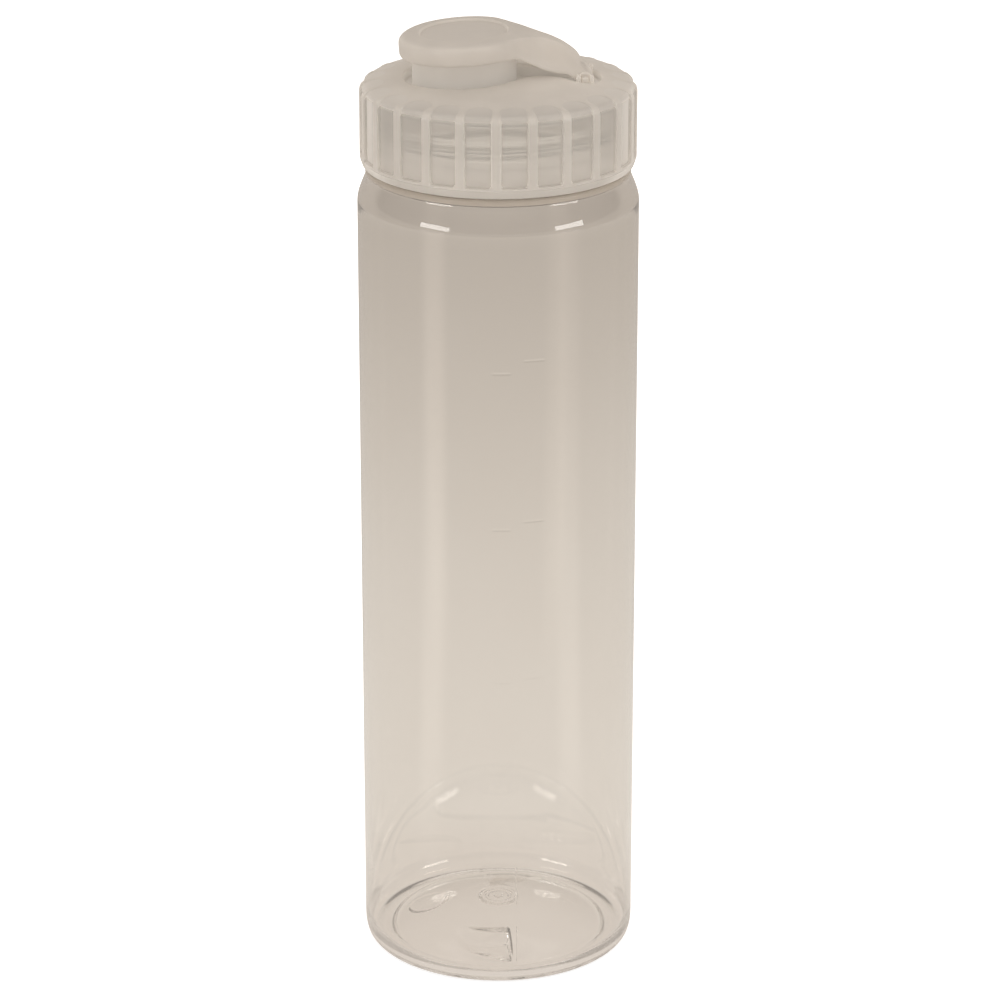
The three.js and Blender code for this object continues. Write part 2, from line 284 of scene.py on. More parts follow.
def edge_attribute(me):
    """Mean curvature per point, 0.5 where flat, towards 1 on outer edges and 0 in grooves; the milky material paints
    edges lighter and grooves darker from it.
    """
    n = len(me.vertices)
    co = np.empty(n * 3)
    me.vertices.foreach_get("co", co)
    co = co.reshape(-1, 3) / MM
    no = np.empty(n * 3)
    me.vertex_normals.foreach_get("vector", no)
    no = no.reshape(-1, 3)
    me.calc_loop_triangles()
    tri = np.empty(len(me.loop_triangles) * 3, np.int64)
    me.loop_triangles.foreach_get("vertices", tri)
    tri = tri.reshape(-1, 3)
    lap, area = np.zeros((n, 3)), np.zeros(n)
    for k in range(3):
        i, j, o = tri[:, k], tri[:, (k + 1) % 3], tri[:, (k + 2) % 3]
        u, v = co[i] - co[o], co[j] - co[o]
        cr = np.linalg.norm(np.cross(u, v), axis=1)
        cot = np.clip(np.sum(u * v, 1) / np.maximum(cr, 1e-9), -3, 6)
        e = co[j] - co[i]
        np.add.at(lap, i, cot[:, None] * e)
        np.add.at(lap, j, -cot[:, None] * e)
        np.add.at(area, i, cr / 6)
        np.add.at(area, j, cr / 6)
        np.add.at(area, o, cr / 6)
    h = -np.sum(lap * no, 1) / (4 * np.maximum(area, 1e-6))
    h = np.clip(h, -1.5, 1.5)
    e = np.empty(len(me.edges) * 2, np.int64)
    me.edges.foreach_get("vertices", e)
    e = e.reshape(-1, 2)
    for _ in range(3):
        sm, ct = h.copy(), np.ones(n)
        np.add.at(sm, e[:, 0], h[e[:, 1]])
        np.add.at(sm, e[:, 1], h[e[:, 0]])
        np.add.at(ct, e[:, 0], 1)
        np.add.at(ct, e[:, 1], 1)
        h = sm / ct
    at = me.attributes.new("edge", "FLOAT", "POINT")
    at.data.foreach_set("value", (0.5 + 0.5 * np.tanh(h * 2.2)).astype(np.float32))


def spin(profile, angles, cx=0.0):
    """Points of a turned profile: rows by columns by xyz."""
    profile = np.asarray(profile, float)
    c, s = np.cos(angles), np.sin(angles)
    return np.stack([cx + profile[:, 0:1] * c, profile[:, 0:1] * s, np.repeat(profile[:, 1:2], len(angles), 1)], -1)


def circle(cx, r, z, angles):
    return np.stack([cx + r * np.cos(angles), r * np.sin(angles), np.full(len(angles), z)], 1)


# ------------------------------------------------------------------ bottle
PART_LINE = [math.radians(-82.5), math.radians(97.5)]
LUG_FACE = [math.radians(-83), math.radians(97)]
BUTTON = (-19.1, 2.2, 5.3)                      # round raised pad on the dome: x, y, radius
# moulded marks on the wall: start and end angle, height
MARKS = [(-92.45, -85.2, z) for z in (87.9, 130.6, 173.05)] + [(-79.7, -71.4, z) for z in (88.9, 132.7, 176.3)]


def bottle_angles():
    n = 288
    a = list(np.linspace(-math.pi, math.pi, n, endpoint=False))
    for p in PART_LINE:
        a += [p + s * w / BODY_R for w in (0.05, 0.13, 0.22, 0.36, 0.6) for s in (-1, 1)] + [p]
    for p in LUG_FACE:
        a += list(p + np.radians(np.linspace(-2.6, 3.4, 16)))
    for m in MARKS[2:4]:
        for e in m[:2]:
            a += [math.radians(e) + s for s in (-0.006, -0.002, 0.002, 0.006)]
    a = np.array(sorted((x + math.pi) % (2 * math.pi) - math.pi for x in a))
    keep = [a[0]]
    for x in a[1:]:
        if x - keep[-1] > 0.0009:
            keep.append(x)
    return np.array(keep)


def wrap(x):
    return (x + math.pi) % (2 * math.pi) - math.pi


def thread_height(theta, z, z0, start, turns, half, flat, height):
    """Ridge height over (rows z, columns theta) of a helical thread."""
    out = np.zeros((len(z), len(theta)))
    for k in range(-2, 6):
        turn = (theta % (2 * math.pi)) / (2 * math.pi) + k
        fade = sstep(start - 0.004, start + 0.075, turn) * (1 - sstep(start + turns - 0.075, start + turns + 0.004, turn))
        zc = z0 + PITCH * turn
        d = np.abs(z[:, None] - zc[None, :])
        out = np.maximum(out, height * fade[None, :] * (1 - sstep(flat, half, d)))
    return out


def make_bottle():
    th = bottle_angles()
    # underside, from the gate in the middle out to the foot ring
    gate = fillet([(0, 7.35, 0), (1.0, 7.35, 0.2), (1.25, 7.75, 0.2), (2.5, 7.7, 0.2), (2.8, 7.5, 0.15), (3.3, 7.5, 0.15),
                   (3.6, 7.75, 0.15), (4.35, 7.62, 0.2), (4.9, 7.66, 0.3), (5.15, 8.14, 0.3), (6.0, 8.16, 0)], 3, 0.5)
    dome = catmull([(6.0, 8.16), (10.0, 7.62), (14.0, 6.72), (18.0, 5.62), (22.0, 4.3), (25.0, 3.08), (27.0, 2.0), (28.2, 0.95), (28.75, 0.18)], 12)
    foot = fillet([(28.75, 0.18, 0), (28.95, 0.0, 0.15), (32.2, 0.0, 0)], 3, 1.2)
    heel = catmull([(32.2, 0.0), (33.6, 0.02), (34.6, 0.2), (35.3, 0.62), (35.85, 1.35), (36.2, 2.35), (36.4, 3.6), (BODY_R, 5.4)], 4)
    wall_z = list(np.arange(6.0, 209.0, 4.0))
    for m in MARKS:
        wall_z += [m[2] + d for d in (-0.55, -0.34, -0.2, -0.07, 0.07, 0.2, 0.34, 0.55)]
    wall_z = np.array(sorted(wall_z))
    wall = np.column_stack([np.full(len(wall_z), BODY_R), wall_z])
    sh = catmull([(BODY_R, 208.6), (36.42, 209.7), (36.15, 210.9), (35.75, 212.1), (35.2, 213.5), (34.70, 214.7), (34.30, 215.6), (34.05, 216.2)], 5)
    bead = fillet([(34.05, 216.2, 0), (34.0, 216.35, 0.04), (34.38, 216.75, 0.2), (34.42, 217.75, 0.4), (33.9, 218.2, 0.5), (31.7, 218.25, 0.5), (NECK_R, 218.9, 0.4), (NECK_R, 219.3, 0)], 5, 0.6)
    nz = np.arange(219.6, 236.0, 0.21)
    neck = np.column_stack([np.full(len(nz), NECK_R), nz])
    neck[:, 0] += 0.85 * (1 - sstep(0.85, 1.2, np.abs(nz - 226.6)))
    rim = fillet([(NECK_R, 236.05, 0), (NECK_R, RIM_Z, 0.5), (NECK_BORE_R, RIM_Z, 0.4), (NECK_BORE_R, 235.6, 0)], 4)
    outer = np.vstack([gate[:-1], dome[:-1], foot[:-1], heel[:-1], wall, sh, bead[1:], neck, rim])
    inner = np.vstack([
        np.column_stack([np.full(8, NECK_BORE_R), np.linspace(235.0, 221.4, 8)]),
        catmull([(NECK_BORE_R, 220.6), (29.62, 219.3), (29.8, 218.3), (30.4, 217.6), (31.6, 217.3), (32.5, 217.1), (32.95, 216.6), (33.1, 215.9)], 5),
        np.array([(33.1 + (BODY_IN_R - 33.1) * t, 215.9 - 6.55 * t) for t in (0.08, 0.2, 0.35, 0.5, 0.65, 0.8, 0.9, 0.96, 0.985, 0.995)] + [(BODY_IN_R, 209.3), (BODY_IN_R, 209.1), (BODY_IN_R, 208.0)]),
        np.column_stack([np.full(26, BODY_IN_R), np.linspace(204.0, 9.0, 26)]),
        catmull([(BODY_IN_R, 8.0), (35.8, 6.2), (35.45, 4.6), (34.8, 3.2), (33.8, 2.0), (32.5, 1.25), (31.0, 0.95), (29.5, 1.15), (28.3, 1.95)], 6)[:-1],
        catmull([(28.3, 1.95), (27.0, 2.98), (25.0, 4.08), (22.0, 5.32), (18.0, 6.66), (14.0, 7.78), (10.0, 8.7), (6.0, 9.3), (2.5, 9.55), (0.0, 9.6)], 10),
    ])
    pts_o = spin(outer, th)
    r = outer[:, 0][:, None]
    z = outer[:, 1][:, None]
    # lugs: a ramp below the dome, steep at one end
    def lugs(r, zz, k_in):
        drop = np.zeros((r.shape[0], len(th)))
        for f in LUG_FACE:
            al = -wrap(th - f)                      # grows away from the steep face
            arc = al[None, :] * np.maximum(r, 1.0)  # mm along the circle
            ramp = 1.45 + 1.9 * np.clip(arc, -3, 40) / 13.0
            r1 = 17.5 + 0.4 * k_in + 0.42 * np.clip(arc, 0, 14)
            w = sstep(0.0, 1.0, (r - 16.95 + k_in) / (r1 - 16.95 + k_in))
            s = sstep(-0.65 - k_in * 0.9, 0.10, arc) * (1 - sstep(9.0, 17.0, arc))
            drop = np.maximum(drop, w * s * (soft_pos(zz - ramp, 0.45 + k_in) - 0.06))
        return drop
    base_rows = (outer[:, 0] < 28.2) & (outer[:, 1] < 9.0)
    d = lugs(r, z, 0.0)
    bx, by, br = BUTTON
    d += 0.28 * (1 - sstep(br - 0.35, br + 0.15, np.hypot(pts_o[..., 0] - bx, pts_o[..., 1] - by)))
    pts_o[..., 2] -= np.where(base_rows[:, None], d, 0.0)
    # parting line and moulded marks on the outside
    out_r = np.zeros((len(outer), len(th)))
    body = (outer[:, 1] > 1.0) & (outer[:, 1] < 217.6) & (outer[:, 0] > 33.5)
    for p in PART_LINE:
        g = np.exp(-(wrap(th - p) * BODY_R / 0.13) ** 2)[None, :]
        amp = 0.018 + 0.05 * (1 - sstep(24.0, 44.0, outer[:, 1])) + 0.03 * sstep(208.0, 213.0, outer[:, 1])
        out_r += (amp * body)[:, None] * g
    for a0, a1, zm in MARKS:
        a0, a1 = math.radians(a0), math.radians(a1)
        g = sstep(a0 - 0.003, a0 + 0.003, th) * (1 - sstep(a1 - 0.003, a1 + 0.003, th))
        out_r += 0.07 * (1 - sstep(0.08, 0.32, np.abs(outer[:, 1] - zm)))[:, None] * g[None, :]
    # thread on the neck
    in_neck = (outer[:, 1] > 219.6) & (outer[:, 1] < 236.0) & (outer[:, 0] < 33)
    t = thread_height(th, outer[:, 1], THREAD_Z0, 0.0, THREAD_TURNS, 1.15, 0.30, 1.25)
    out_r += np.where(in_neck[:, None], t, 0.0)
    pts_o[..., 0] += out_r * np.cos(th)
    pts_o[..., 1] += out_r * np.sin(th)
    pts_i = spin(inner, th)
    d = lugs(inner[:, 0][:, None], inner[:, 1][:, None] - 1.05, 0.6)
    pts_i[..., 2] -= np.where(((inner[:, 0] < 28.4) & (inner[:, 1] < 12.0))[:, None], 0.94 * d, 0.0)
    # thick: about 1 on the thicker shoulder, about 2 on the bead under the cap, whose darker tint is partly painted
    # shade
    thick = lambda zz: sstep(208.6, 210.6, zz) * (1 - sstep(215.6, 217.2, zz)) + 2.0 * sstep(216.2, 216.9, zz) * (1 - sstep(218.6, 219.6, zz))
    at = np.concatenate([thick(pts_o[..., 2]), thick(pts_i[..., 2])], 0)
    b = Build()
    b.grid(np.concatenate([pts_o, pts_i], 0), at)
    return b.make("bottle_shell", 50, attr_name="thick")


# ------------------------------------------------------------------ cap
DECK = catmull([(34.2, 240.0), (32.0, 240.5), (29.0, 241.0), (25.0, 241.5), (20.0, 242.1), (15.0, 242.5), (10.0, 242.8), (4.0, 242.98), (0, 243.0)], 8)


def deck_z(x, y):
    r = np.hypot(x, y)
    return np.interp(r, DECK[::-1, 0], DECK[::-1, 1])


def keyhole(n_side=44, n_arc=110):
    side = catmull([(1.33, 11.95), (4.2, 8.7), (7.0, 5.9), (10.0, 4.1), (13.2, 3.6), (16.4, 4.6), (19.0, 6.6), (21.8, 7.6), (24.4, 6.4), (26.0, 3.4), (26.4, 0)], 12)
    a0 = math.atan2(11.95, 1.33 - SPOUT_X)
    arc = [(SPOUT_X + MOAT_R * math.cos(a), MOAT_R * math.sin(a)) for a in np.linspace(a0, 2 * math.pi - a0, n_arc + 1)[1:-1]]
    low = [(x, -y) for x, y in side[:-1]]
    pts = np.array(arc + low + [tuple(p) for p in side[::-1]])
    # even spacing
    q = np.vstack([pts, pts[:1]])
    s = np.concatenate([[0], np.cumsum(np.linalg.norm(np.diff(q, axis=0), axis=1))])
    n = 260
    u = np.linspace(0, s[-1], n, endpoint=False)
    return np.column_stack([np.interp(u, s, q[:, 0]), np.interp(u, s, q[:, 1])])


def make_cap():
    b = Build()
    pitch = 2 * math.pi / RIBS
    tang = np.array([-3.95, -3.72, -3.58, -3.46, -3.34, -3.2, -2.95, -2.5, -1.9, -1.3, -0.65, 0, 0.65, 1.3, 1.9, 2.5, 2.95, 3.2, 3.34, 3.46, 3.58, 3.72, 3.95, pitch * CAP_R / 2])
    th = np.array([RIB_TURN + (i + 0.5) * pitch + t / CAP_R for i in range(RIBS) for t in tang])
    tt = np.tile(tang, RIBS)
    # outside profile from the bottom lip up and over on to the deck
    prof = fillet([(33.5, CAP_Z0, 0), (35.1, CAP_Z0, 0.45), (CAP_R, CAP_Z0 + 2.0, 0.6), (CAP_R, 237.2, 0)], 5)
    up = np.arange(CAP_Z0 + 2.6, 237.3, 0.9)
    up = np.array(sorted(list(up) + [PANEL_Z0 + d for d in (-0.3, -0.12, 0.02, 0.16, 0.3, 0.5)]))
    side = np.column_stack([np.full(len(up), CAP_R), up])
    corner = catmull([(CAP_R, 237.4), (35.72, 238.1), (35.5, 238.85), (35.0, 239.5), (34.2, 240.0), (33.1, 240.28), (32.0, 240.5)], 5)
    rr = np.arange(31.8, 28.15, -0.2)
    top = np.column_stack([rr, deck_z(rr, 0 * rr)])
    prof = np.vstack([prof[:-1], side, corner, top])
    prof = prof[np.concatenate([[True], np.linalg.norm(np.diff(prof, axis=0), axis=1) > 1e-3])]
    # where each point goes when it is on a pocket floor
    tgt = prof.copy()
    wall = (prof[:, 1] >= PANEL_Z0 - 0.5) & (prof[:, 0] > 34.95)
    tgt[wall, 0] = PANEL_R
    on_ch = prof[:, 1] > 238.5
    cz = lambda r: np.interp(r, [29.2, 30.4, 31.5, 33.2, 34.2, 34.72, PANEL_R], [240.97, 240.74, 240.52, 240.14, 239.82, 239.42, 238.9])
    tgt[on_ch, 0] = np.minimum(prof[on_ch, 0], PANEL_R)
    tgt[on_ch, 1] = np.minimum(prof[on_ch, 1], cz(tgt[on_ch, 0]))
    # mask: rounded window, arched where it runs out on the deck
    z, r = prof[:, 1], prof[:, 0]
    vert = sstep(PANEL_Z0 - 0.14, PANEL_Z0 + 0.16, z)
    w = np.full(len(prof), PANEL_W)
    on_top = r < 32.6
    u = np.clip((32.6 - r) / (32.6 - 29.5), 0, 1)
    w[on_top] = PANEL_W * np.sqrt(np.clip(1 - u[on_top] ** 2.2, 0, 1))
    foot_r = np.clip((PANEL_Z0 + 0.9 - z) / 0.9, 0, 1)
    w -= 0.45 * foot_r ** 2 * (z < 230)
    taper = np.clip(r / CAP_R, 0, 1)
    edge = (np.abs(tt)[None, :] * taper[:, None]) - w[:, None]
    m = (1 - sstep(-0.17, 0.13, edge)) * vert[:, None]
    pts = spin(prof, th)
    ptgt = spin(tgt, th)
    pts = pts + (ptgt - pts) * m[..., None]
    clear = m * (0.30 + 0.70 * (1 - sstep(237.5, 238.6, z)))[:, None]
    zz = z[:, None]
    clear = np.maximum(clear, 0.30 * (1 - sstep(237.6, 239.0, zz)))
    clear = clear * (1 - 0.30 * (1 - sstep(228.0, 232.5, zz))) * (1 - 0.40 * (1 - sstep(222.0, 227.0, zz)))
    clear = np.maximum(clear, 0.45 * (1 - sstep(220.9, 221.5, zz)))
    b.grid(pts, clear)
    outer_ring = pts[-1]
    bottom_ring = pts[0]
    # deck, lip and wall of the keyhole recess
    key = keyhole()
    def lift(loop, dz):
        return np.column_stack([loop, deck_z(loop[:, 0], loop[:, 1]) + dz])
    loops = [lift(offset(key, 0.95), 0.0), lift(offset(key, 0.62), -0.035), lift(offset(key, 0.36), -0.13), lift(offset(key, 0.16), -0.3), lift(offset(key, 0.04), -0.52), lift(key, -0.78)]
    def flat(loop, zz):
        return np.column_stack([loop, np.full(len(loop), zz)])
    loops += [flat(key, MOAT_Z + 0.55), flat(offset(key, -0.05), MOAT_Z + 0.32), flat(offset(key, -0.18), MOAT_Z + 0.14), flat(offset(key, -0.38), MOAT_Z + 0.03), flat(offset(key, -0.6), MOAT_Z)]
    b.region(outer_ring, [loops[0]], deck_z, 0.7)
    # below zero: the thin walls of the recess, which the material paints whiter and keeps out of the painted top shade:
    # painted light standing in for the light inside the cap that passes through them
    thin = np.array([0.0, 0.0, -0.1, -0.3, -0.55, -0.8] + [-1.0] * (len(loops) - 6))
    b.grid(np.stack(loops), np.repeat(thin, len(key)))
    sa = np.linspace(-math.pi, math.pi, 120, endpoint=False)
    sp = fillet([(14.05, MOAT_Z, 0), (SPOUT_R, MOAT_Z, 0.55), (SPOUT_R, 247.9, 0.2), (SPOUT_R - 0.25, 248.5, 0.2), (SPOUT_R - 0.35, SPOUT_TOP, 0.5), (SPOUT_BORE + 0.1, SPOUT_TOP, 0.5), (SPOUT_BORE, 248.4, 0), (SPOUT_BORE, CEIL_Z, 0.5), (12.6, CEIL_Z, 0)], 5, 1.6)
    # the moat floor and the spout carry the same below-zero mark and are painted whiter too, less so up the spout
    b.region(loops[-1], [circle(SPOUT_X, 14.05, MOAT_Z, sa)], lambda x, y: np.full(len(x), MOAT_Z), 0.7, -1.0)
    b.grid(spin(sp, sa, SPOUT_X), np.repeat(np.where(np.arange(len(sp)) < len(sp) // 2, -1.0 + 0.6 * sstep(MOAT_Z, 247.0, sp[:, 1]), -0.4), len(sa)))
    # underside and inner wall with its thread
    ta = th
    iw = [(32.3, CEIL_Z), (32.75, CEIL_Z - 0.08), (33.02, CEIL_Z - 0.3), (CAP_IN_R, CEIL_Z - 0.6)]
    iw += [(CAP_IN_R, zz) for zz in np.arange(237.4, 219.6, -0.22)] + [(CAP_IN_R, 219.25), (33.2, 218.98), (33.5, CAP_Z0)]
    iw = np.array(iw)
    pin = spin(iw, ta)
    t = thread_height(ta, iw[:, 1], THREAD_Z0 - PITCH / 2, 0.37, 1.25, 1.0, 0.25, 1.0)
    t *= ((iw[:, 1] < 237.0) & (iw[:, 1] > 220.0))[:, None]
    pin[..., 0] -= t * np.cos(ta)
    pin[..., 1] -= t * np.sin(ta)
    # the inner face is clear only behind the pockets
    win = 1 - sstep(PANEL_W - 0.30, PANEL_W + 0.05, np.abs(tt))
    zz = iw[:, 1][:, None]
    b.grid(pin, win[None, :] * (1 - sstep(237.6, 238.2, zz)) * sstep(221.5, 225.0, zz))
    b.region(pin[0], [circle(SPOUT_X, 12.6, CEIL_Z, sa)], lambda x, y: np.full(len(x), CEIL_Z), 1.6, 0.3)
    b.region(bottom_ring, [pin[-1]], lambda x, y: np.full(len(x), CAP_Z0), 0.6, 0.3) if not np.allclose(np.hypot(*bottom_ring[0, :2]), 33.5) else None
    return b, bottom_ring, pin[-1]


def rounded_block(name, outline, y0, y1, bevel=0.25):
    """An XZ outline (mm) thickened along Y, with soft edges."""
    bm = bmesh.new()
    vs = [bm.verts.new((x * MM, y0 * MM, z * MM)) for x, z in outline]
    f = bm.faces.new(vs)
    ext = bmesh.ops.extrude_face_region(bm, geom=[f])
    for g in ext["geom"]:
        if isinstance(g, bmesh.types.BMVert):
            g.co.y = y1 * MM
    bmesh.ops.recalc_face_normals(bm, faces=bm.faces)
    bmesh.ops.bevel(bm, geom=[e for e in bm.edges], offset=bevel * MM, offset_type="OFFSET", segments=3, profile=0.5, affect="EDGES", clamp_overlap=True)
    me = bpy.data.meshes.new(name)
    bm.to_mesh(me)
    bm.free()
    me.attributes.new("clear", "FLOAT", "POINT")
    for p in me.polygons:
        p.use_smooth = True
    ob = bpy.data.objects.new(name, me)
    bpy.context.scene.collection.objects.link(ob)
    edge_attribute(me)
    return ob


def cheek_outline():
    x0, x1, zt, zb = HINGE_X - 2.3, HINGE_X + 2.3, 243.0, 238.7
    w = 1.15
    pts = [(x0, zb), (x1, zb), (x1, zt - 0.5), (x1 - 0.35, zt), (HINGE_X + w + 0.15, zt), (HINGE_X + w, zt - 0.35)]
    pts += [(HINGE_X + w * math.cos(a), HINGE_Z + w * math.sin(a)) for a in np.linspace(0, -math.pi, 13)]
    pts += [(HINGE_X - w, zt - 0.35), (HINGE_X - w - 0.15, zt), (x0 + 0.35, zt), (x0, zt - 0.5)]
    return pts


# ------------------------------------------------------------------ lid (own frame: hinge axis at the origin, disc level)
ARM = catmull([(-19.4, 12.7), (-16.6, 9.9), (-13.4, 7.6), (-10.0, 5.9), (-6.0, 4.8), (-2.6, 4.2)], 10)


def lid_outline():
    b0 = math.atan2(12.7, -19.4 - DISC_X)
    rr = math.hypot(12.7, -19.4 - DISC_X)
    arc = [(DISC_X + (DISC_R + (rr - DISC_R) * math.exp(-((a - b0) if a < math.pi else (2 * math.pi - b0 - a)) / 0.15)) * math.cos(a),
            (DISC_R + (rr - DISC_R) * math.exp(-((a - b0) if a < math.pi else (2 * math.pi - b0 - a)) / 0.15)) * math.sin(a))
           for a in np.linspace(b0, 2 * math.pi - b0, 160)[1:-1]]
    end = [(0.2, -4.2), (1.25, -4.1), (1.75, -3.7), (1.85, -3.0), (1.85, 3.0), (1.75, 3.7), (1.25, 4.1), (0.2, 4.2)]
    pts = np.array(arc + [(x, -y) for x, y in ARM] + end + [tuple(p) for p in ARM[::-1]])
    q = np.vstack([pts, pts[:1]])
    s = np.concatenate([[0], np.cumsum(np.linalg.norm(np.diff(q, axis=0), axis=1))])
    n = 420
    u = np.linspace(0, s[-1], n, endpoint=False)
    return np.column_stack([np.interp(u, s, q[:, 0]), np.interp(u, s, q[:, 1])])


TOP_LINE = catmull([(-48, LID_TOP), (-26.0, LID_TOP), (-22.5, 13.7), (-20.0, 13.5), (-17.7, 13.15), (-14.7, 12.6), (-11.7, 11.9), (-8.7, 10.95), (-5.8, 9.5), (-4.0, 8.25), (-2.9, 7.35), (-2.0, 6.5), (-1.4, 5.65), (-0.95, 4.7), (-0.5, 4.0), (0.1, 3.55), (0.8, 2.75), (1.5, 1.9), (2.2, 0.9)], 8)
BOT_LINE = catmull([(-48, LID_BOT), (-20.0, LID_BOT), (-16.9, 7.75), (-14.5, 6.3), (-12.5, 4.9), (-9.6, 3.1), (-7.6, 2.3), (-5.2, 1.75), (-4.1, 1.4), (-3.0, 0.4), (-1.9, -0.4), (-1.2, -1.2), (0.0, -1.75), (1.2, -1.3), (2.2, -0.4)], 10)


RIDGE = catmull([(-24.0, 13.2), (-22.0, 12.0), (-17.6, 8.7), (-14.7, 6.2), (-12.3, 4.2), (-10.0, 2.95), (-8.0, 2.45), (-5.0, 2.25), (-3.0, 2.2), (2.5, 2.2)], 8)
CREASE = catmull([(-22.0, 15.0, 11.0), (-19.0, 12.2, 10.2), (-17.6, 10.9, 9.6), (-14.7, 8.1, 8.3), (-12.6, 6.4, 7.5), (-10.6, 5.1, 6.5), (-8.0, 4.35, 5.4), (-5.0, 3.9, 4.2), (-3.0, 3.6, 3.1), (-1.0, 3.6, 2.0), (2.5, 3.6, 0.6)], 8)


def make_lid():
    out = lid_outline()
    top = lambda x: np.interp(x, TOP_LINE[:, 0], TOP_LINE[:, 1])
    bot = lambda x: np.interp(x, BOT_LINE[:, 0], BOT_LINE[:, 1])
    arm_w = lambda x: sstep(-21.5, -15.5, x)                # 0 on the disc, 1 on the arm
    def H(x, y, d):
        """Top surface at (x, y), at plan distance d inside the outline."""
        t = np.clip((5.0 - d) / 5.0, 0, 1)
        disc = top(x) - 2.7 * (1 - (1 - t ** 2.6) ** (1 / 2.6))
        v = np.abs(y)
        hw = np.interp(x, ARM[:, 0], ARM[:, 1])
        wr = np.interp(x, RIDGE[:, 0], RIDGE[:, 1])
        wc = np.minimum(np.interp(x, CREASE[:, 0], CREASE[:, 1]), hw - 0.3)
        zc = np.interp(x, CREASE[:, 0], CREASE[:, 2])
        zo = bot(x) + 0.75
        zc = np.maximum(zc, zo + 0.2)
        tp = np.maximum(top(x), zc + 0.3)
        flat = tp - 0.3 * np.clip(v / wr, 0, 1) ** 4
        s1 = np.clip((v - wr) / (wc - wr), 0, 1)
        s2 = np.clip((v - wc) / (hw - wc), 0, 1)
        side = (tp - 0.3) + (zc - tp + 0.3) * (0.30 * s1 + 0.70 * s1 * s1 * (3 - 2 * s1)) - 0.26 * np.exp(-((s1 - 0.22) / 0.07) ** 2)
        arm = np.where(v <= wr, flat, np.where(v <= wc, side, zc + (zo - zc) * s2 ** 1.25))
        arm = arm - 0.20 * np.exp(-((v - wc - 0.1) / 0.28) ** 2)
        return disc * (1 - arm_w(x)) + arm * arm_w(x)
    b = Build()
    ds = [0, 0.06, 0.14, 0.26, 0.42, 0.62, 0.86, 1.14, 1.45, 1.8, 2.15, 2.5, 2.85]
    loops = []
    # side wall of the rim, slightly barrelled, then over the edge
    x0 = out[:, 0]
    h0 = H(out[:, 0], out[:, 1], np.zeros(len(out)))
    zb = bot(out[:, 0])
    a = arm_w(out[:, 0])
    rise = h0 - zb
    for t, din in ((0.0, 0.75), (0.02, 0.5), (0.07, 0.28), (0.16, 0.12), (0.3, 0.03), (0.5, 0.0), (0.75, 0.0)):
        k = din * (1 - 0.75 * a)
        lp = out.copy()
        nrm = offset(out, 1.0) - out
        lp = out - nrm * k[:, None]
        loops.append(np.column_stack([lp, zb + rise * t]))
    def dist_from(lp):
        return loop_distance(out, lp)
    for d in ds:
        lp = offset(out, -d)
        dd = np.full(len(lp), d) if d < 0.01 else dist_from(lp)
        loops.append(np.column_stack([lp, H(lp[:, 0], lp[:, 1], dd)]))
    b.grid(np.stack(loops))
    last = loops[-1]
    # top skin, with the shallow dish
    da = np.linspace(-math.pi, math.pi, 144, endpoint=False)
    dish = fillet([(12.15, 0.0, 0), (11.5, 0.0, 0.35), (11.05, -0.62, 0.4), (10.0, -0.66, 0), (5.0, -0.72, 0), (0, -0.74, 0)], 5, 1.6)
    zc = lambda x, y: top(x)
    ring_xy = circle(DISC_X, 12.15, 0, da)
    ring_xy[:, 2] = H(ring_xy[:, 0], ring_xy[:, 1], np.full(len(da), 4.0))
    dsp = spin(dish, da, DISC_X)
    dsp[..., 2] += ring_xy[:, 2][None, :] * (1 - sstep(0, 1, (12.15 - dish[:, 0]) / 12.15))[:, None] + LID_TOP * sstep(0, 1, (12.15 - dish[:, 0]) / 12.15)[:, None]
    dsp[0] = ring_xy
    zfun = lambda x, y: H(x, y, loop_distance(out, np.column_stack([x, y])))
    b.region(last, [ring_xy], zfun, 0.45)
    b.grid(dsp)
    # underside: rim land and arm, skirt wall, roof, plug ring
    first = loops[0]
    sk = circle(DISC_X, 14.3, LID_BOT, da)
    b.region(first, [sk], lambda x, y: bot(x), 0.8)
    cav = fillet([(14.3, LID_BOT, 0), (14.3, LID_PLATE, 0.6), (10.8, LID_PLATE, 0.4), (10.8, 8.1, 0.3), (10.45, 7.3, 0.3), (9.5, 7.3, 0.3), (9.1, 7.9, 0.2), (9.1, LID_PLATE, 0.5), (0, LID_PLATE, 0)], 4, 1.5)
    b.grid(spin(cav, da, DISC_X))
    m = Matrix.Translation((HINGE_X, 0, HINGE_Z)) @ Matrix.Rotation(LID_TILT, 4, "Y")
    return b.make("lid_shell", 42, place=m)


def make_axle():
    """Knuckle and stub axles of the lid, one turned bar along Y with soft ends."""
    prof = fillet([(0, -6.3, 0), (0.8, -6.3, 0.15), (1.0, -6.1, 0.15), (1.0, -4.35, 0.1), (1.65, -4.3, 0.2), (1.86, -4.0, 0.2), (1.86, 4.0, 0.2), (1.65, 4.3, 0.2), (1.0, 4.35, 0.1), (1.0, 6.1, 0.15), (0.8, 6.3, 0.15), (0, 6.3, 0)], 3, 0.8)
    a = np.linspace(-math.pi, math.pi, 48, endpoint=False)
    p = spin(prof, a)
    b = Build()
    b.grid(np.stack([p[..., 0], p[..., 2], p[..., 1]], -1))
    m = Matrix.Translation((HINGE_X, 0, HINGE_Z)) @ Matrix.Rotation(LID_TILT, 4, "Y")
    return b.make("lid_knuckle", 35, place=m)


def make_seal():
    prof = fillet([(31.0, 236.9, 0), (32.75, 236.9, 0.25), (32.75, 238.0, 0.25), (29.3, 238.0, 0.3), (29.3, 236.9, 0.3), (31.0, 236.9, 0)], 4, 0.8)
    b = Build()
    b.grid(spin(prof, np.linspace(-math.pi, math.pi, 180, endpoint=False)))
    return b.make("seal_liner", 40)


